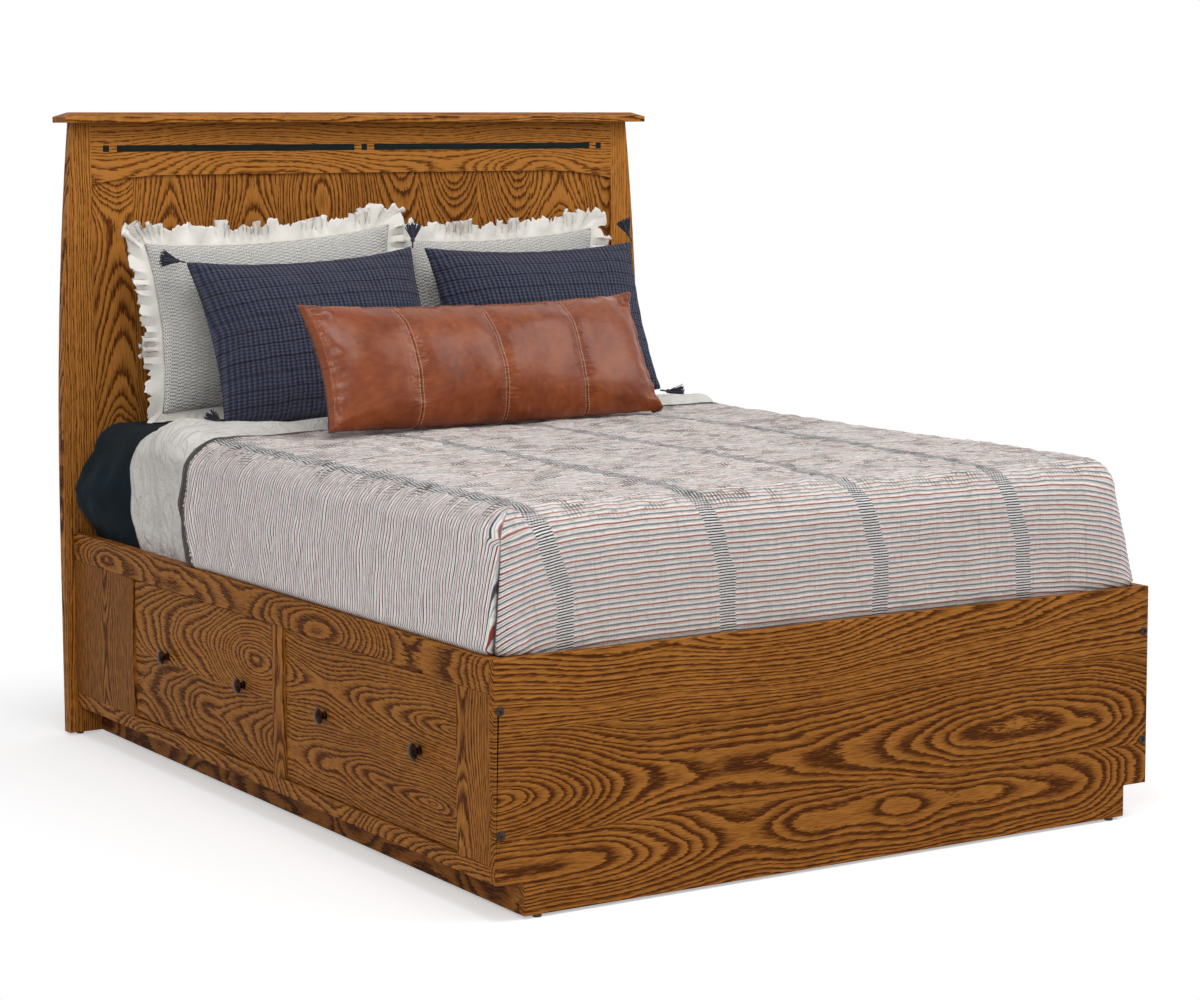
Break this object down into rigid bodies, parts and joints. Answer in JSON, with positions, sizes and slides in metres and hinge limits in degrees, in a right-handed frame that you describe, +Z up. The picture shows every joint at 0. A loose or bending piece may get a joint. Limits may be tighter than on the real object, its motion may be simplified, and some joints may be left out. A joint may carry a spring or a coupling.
{
  "type": "platform storage bed",
  "caption": "Queen platform bed in oak: tapered-post headboard with inlaid top rail and moulded cap, drawer pedestal, made up with striped coverlet and pillows.",
  "frame": {"origin": "middle of the bed's outline, on the floor", "axes": "+Y towards the headboard, +X to the right as seen from the foot, +Z up"},
  "size_m": [1.656, 2.1124, 1.5185],
  "materials": {
    "oak": "stained oak under a satin clear coat",
    "dark_oak": "stained oak, satin",
    "birch_plywood": "clear-sealed plywood",
    "ebony": "dark inlay, satin",
    "bronze": "dark oil-rubbed bronze",
    "glide_plastic": "matte",
    "mattress_ticking": "quilted ticking",
    "navy_sheet": "plain cotton",
    "white_cotton": "plain cotton",
    "striped_cotton": "crinkled cotton with woven stripes",
    "cream_weave": "coarse woven cotton",
    "navy_waffle": "waffle cotton",
    "cognac_leather": "semi-gloss hide"
  },
  "bodies": {
    "bed": {"headboard_left_post": "oak", "headboard_right_post": "oak", "headboard_top_rail": "oak", "headboard_lower_board": "oak", "headboard_panel": "oak", "headboard_cap": "oak", "inlay_left_square": "ebony", "inlay_middle_square": "ebony", "inlay_right_square": "ebony", "inlay_left_bar": "ebony", "inlay_right_bar": "ebony", "left_side_frame": "oak", "right_side_frame": "oak", "left_toe_board": "dark_oak", "right_toe_board": "dark_oak", "footboard": "oak", "left_upper_bolt": "bronze", "left_lower_bolt": "bronze", "right_upper_bolt": "bronze", "right_lower_bolt": "bronze", "left_foot_glide": "glide_plastic", "right_foot_glide": "glide_plastic", "left_head_glide": "glide_plastic", "right_head_glide": "glide_plastic", "base_panel": "birch_plywood", "deck_panel": "birch_plywood", "foot_bulkhead": "birch_plywood", "middle_bulkhead": "birch_plywood", "head_bulkhead": "birch_plywood", "foot_drawer_guide": "dark_oak", "head_drawer_guide": "dark_oak", "mattress": "mattress_ticking", "fitted_sheet": "navy_sheet", "flat_sheet": "white_cotton", "coverlet": "striped_cotton", "left_white_pillow": "cream_weave", "right_white_pillow": "cream_weave", "left_navy_pillow": "navy_waffle", "right_navy_pillow": "navy_waffle", "leather_lumbar_pillow": "cognac_leather"},
    "left_foot_drawer": {"left_foot_drawer_front": "oak", "left_foot_drawer_box": "birch_plywood", "left_foot_drawer_runner": "dark_oak", "left_foot_drawer_foot_knob": "bronze", "left_foot_drawer_head_knob": "bronze"},
    "left_head_drawer": {"left_head_drawer_front": "oak", "left_head_drawer_box": "birch_plywood", "left_head_drawer_runner": "dark_oak", "left_head_drawer_foot_knob": "bronze", "left_head_drawer_head_knob": "bronze"},
    "right_foot_drawer": {"right_foot_drawer_front": "oak", "right_foot_drawer_box": "birch_plywood", "right_foot_drawer_runner": "dark_oak", "right_foot_drawer_foot_knob": "bronze", "right_foot_drawer_head_knob": "bronze"},
    "right_head_drawer": {"right_head_drawer_front": "oak", "right_head_drawer_box": "birch_plywood", "right_head_drawer_runner": "dark_oak", "right_head_drawer_foot_knob": "bronze", "right_head_drawer_head_knob": "bronze"}
  },
  "joints": [
    {"name": "left_foot_drawer_slide", "type": "slide", "parent": "bed", "child": "left_foot_drawer", "axis": [-1, 0, 0], "range_m": [0, 0.43]},
    {"name": "left_head_drawer_slide", "type": "slide", "parent": "bed", "child": "left_head_drawer", "axis": [-1, 0, 0], "range_m": [0, 0.43]},
    {"name": "right_foot_drawer_slide", "type": "slide", "parent": "bed", "child": "right_foot_drawer", "axis": [1, 0, 0], "range_m": [0, 0.43]},
    {"name": "right_head_drawer_slide", "type": "slide", "parent": "bed", "child": "right_head_drawer", "axis": [1, 0, 0], "range_m": [0, 0.43]}
  ]
}
